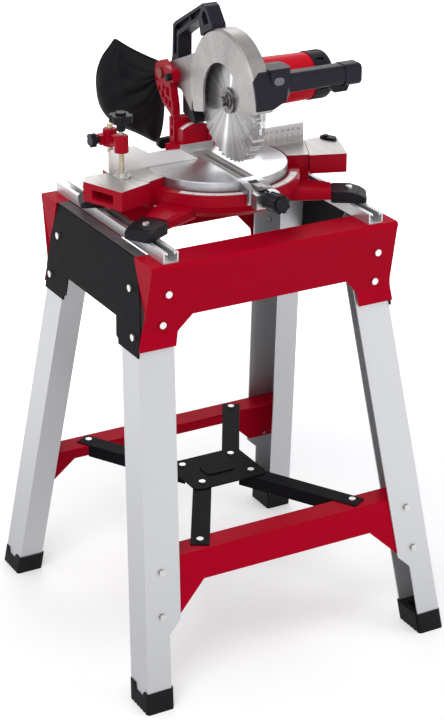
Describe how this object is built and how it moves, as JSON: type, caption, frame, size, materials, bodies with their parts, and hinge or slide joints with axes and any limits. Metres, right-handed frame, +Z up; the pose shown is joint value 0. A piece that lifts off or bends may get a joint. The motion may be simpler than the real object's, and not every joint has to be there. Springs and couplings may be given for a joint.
{
  "type": "mitre saw on stand",
  "caption": "Compound mitre saw with clamp, table wings and dust bag on a four-legged stand; table turns, head tilts and chops.",
  "frame": {"origin": "middle of the stand's footprint, on the floor", "axes": "+Z up, +X to the user's right, +Y away from the user"},
  "size_m": [0.551, 0.566, 1.025],
  "materials": {
    "red_paint": "semi-gloss powder coat",
    "black_panel": "satin powder coat",
    "leg_aluminium": "satin extruded",
    "foot_rubber": "matt",
    "dark_bolts": "blackened and zinc plated",
    "red_casting": "painted casting with a machined bare top",
    "black_plastic": "matt moulded",
    "scale_white": "satin with plain ticks",
    "cast_aluminium": "satin cast and machined",
    "zinc_steel": "zinc plated",
    "insert_plastic": "matt moulded",
    "blade_steel": "ground",
    "clear_guard": "clear moulded",
    "red_plastic": "satin moulded",
    "handle_plastic": "fine texture",
    "grey_plastic": "matt moulded",
    "motor_core": "laminated steel and copper",
    "bag_cloth": "coated woven cloth"
  },
  "bodies": {
    "stand": {"front_panel": "red_paint", "rear_panel": "red_paint", "left_panel": "black_panel", "right_panel": "black_panel", "leg_fl": "leg_aluminium", "leg_fr": "leg_aluminium", "leg_rl": "leg_aluminium", "leg_rr": "leg_aluminium", "foot_fl": "foot_rubber", "foot_fr": "foot_rubber", "foot_rl": "foot_rubber", "foot_rr": "foot_rubber", "rail_left": "leg_aluminium", "rail_right": "leg_aluminium", "front_brace": "red_paint", "rear_brace": "red_paint", "centre_plate": "black_panel", "cross_arms": "black_panel", "stand_bolts": "dark_bolts", "base_casting": "red_casting", "base_feet": "black_plastic", "saw_bolts": "dark_bolts", "mitre_scale": "scale_white", "fence_left": "cast_aluminium", "fence_right": "cast_aluminium", "clamp_post": "zinc_steel"},
    "clamp_swing": {"clamp_arm": "red_casting"},
    "clamp_slider": {"clamp_pad": "zinc_steel"},
    "clamp_spindle": {"clamp_screw": "zinc_steel", "clamp_knob": "black_plastic"},
    "clamp_lock": {"clamp_lock_knob": "black_plastic"},
    "left_wing": {"wing_left": "red_casting"},
    "right_wing": {"wing_right": "red_casting"},
    "stop": {"end_stop": "black_plastic"},
    "table": {"turntable": "cast_aluminium", "kerf_insert": "insert_plastic", "bevel_bracket": "red_casting"},
    "mitre_lock": {"mitre_knob": "black_plastic"},
    "detent": {"detent_lever": "black_plastic"},
    "bevel_lock": {"bevel_lever": "black_plastic"},
    "column": {"bevel_column": "red_casting", "pivot_shaft": "zinc_steel"},
    "lock_pin": {"head_lock_pin": "black_plastic"},
    "head": {"upper_guard": "cast_aluminium", "motor_housing": "red_plastic", "motor_end_cap": "black_plastic", "stator": "motor_core", "operating_handle": "handle_plastic", "carry_handle": "handle_plastic", "dust_chute": "black_plastic", "bag_elbow": "black_plastic", "dust_bag": "bag_cloth"},
    "guard": {"lower_guard": "clear_guard"},
    "saw_blade": {"blade": "blade_steel", "spindle": "zinc_steel", "arbor_flange": "zinc_steel", "arbor_bolt": "zinc_steel"},
    "rotor": {"armature": "motor_core"},
    "trigger_lever": {"trigger": "black_plastic"},
    "safety_button": {"lock_button": "grey_plastic"}
  },
  "joints": [
    {"name": "mitre_swivel", "type": "hinge", "parent": "stand", "child": "table", "pos_m": [0, 0, 0.764], "axis": [0, 0, -1], "range_deg": [-45, 45]},
    {"name": "bevel_tilt", "type": "hinge", "parent": "table", "child": "column", "pos_m": [0, 0.098, 0.777], "axis": [0, -1, 0], "range_deg": [0, 45]},
    {"name": "head_chop", "type": "hinge", "parent": "column", "child": "head", "pos_m": [-0.004, 0.129, 0.89], "axis": [-1, 0, 0], "range_deg": [-5, 22]},
    {"name": "guard_turn", "type": "hinge", "parent": "head", "child": "guard", "pos_m": [0, -0.044, 0.885], "axis": [1, 0, 0], "range_deg": [-22, 95.5]},
    {"name": "blade_spin", "type": "hinge", "parent": "head", "child": "saw_blade", "pos_m": [0, -0.044, 0.885], "axis": [1, 0, 0], "continuous": true},
    {"name": "rotor_spin", "type": "hinge", "parent": "head", "child": "rotor", "pos_m": [0.08, -0.054, 0.909], "axis": [1, 0, 0], "continuous": true},
    {"name": "trigger_pull", "type": "hinge", "parent": "head", "child": "trigger_lever", "pos_m": [0.118, -0.1205, 0.921], "axis": [0, -1, 0], "range_deg": [0, 3.5], "stiffness_Nm_per_rad": 0.4},
    {"name": "button_press", "type": "slide", "parent": "head", "child": "safety_button", "axis": [0, 1, 0], "range_m": [0, 0.003], "stiffness_N_per_m": 300},
    {"name": "lock_pin_pull", "type": "slide", "parent": "column", "child": "lock_pin", "axis": [-1, 0, 0], "range_m": [0, 0.006]},
    {"name": "mitre_lock_turn", "type": "hinge", "parent": "table", "child": "mitre_lock", "pos_m": [0, -0.132, 0.756], "axis": [0, -0.9914, 0.1305], "range_deg": [-180, 180]},
    {"name": "detent_lift", "type": "hinge", "parent": "table", "child": "detent", "pos_m": [0, -0.124, 0.7725], "axis": [1, 0, 0], "range_deg": [0, 7], "stiffness_Nm_per_rad": 0.3},
    {"name": "bevel_lock_turn", "type": "hinge", "parent": "table", "child": "bevel_lock", "pos_m": [0, 0.118, 0.777], "axis": [0, 1, 0], "range_deg": [0, 30]},
    {"name": "left_wing_slide", "type": "slide", "parent": "stand", "child": "left_wing", "axis": [-1, 0, 0], "range_m": [0, 0.065]},
    {"name": "right_wing_slide", "type": "slide", "parent": "stand", "child": "right_wing", "axis": [1, 0, 0], "range_m": [0, 0.065]},
    {"name": "stop_swing", "type": "hinge", "parent": "right_wing", "child": "stop", "pos_m": [0.209, 0.015, 0.779], "axis": [0, 0, 1], "range_deg": [0, 90]},
    {"name": "clamp_turn", "type": "hinge", "parent": "stand", "child": "clamp_swing", "pos_m": [-0.166, 0.036, 0.83], "axis": [0, 0, -1], "range_deg": [0, 90]},
    {"name": "clamp_press", "type": "slide", "parent": "clamp_swing", "child": "clamp_slider", "axis": [0, 0, 1], "range_m": [0, 0.02]},
    {"name": "clamp_spin", "type": "hinge", "parent": "clamp_slider", "child": "clamp_spindle", "pos_m": [-0.166, -0.004, 0.83], "axis": [0, 0, 1], "range_deg": [0, 3605]},
    {"name": "clamp_lock_turn", "type": "hinge", "parent": "clamp_swing", "child": "clamp_lock", "pos_m": [-0.18, 0.036, 0.829], "axis": [-1, 0, 0], "range_deg": [-90, 90]}
  ],
  "couplings": [
    {"joint": "guard_turn", "follows": "head_chop", "ratio": 4.3},
    {"joint": "rotor_spin", "follows": "blade_spin", "ratio": -3},
    {"joint": "clamp_spin", "follows": "clamp_press", "rad_per_m": 3141.6}
  ]
}
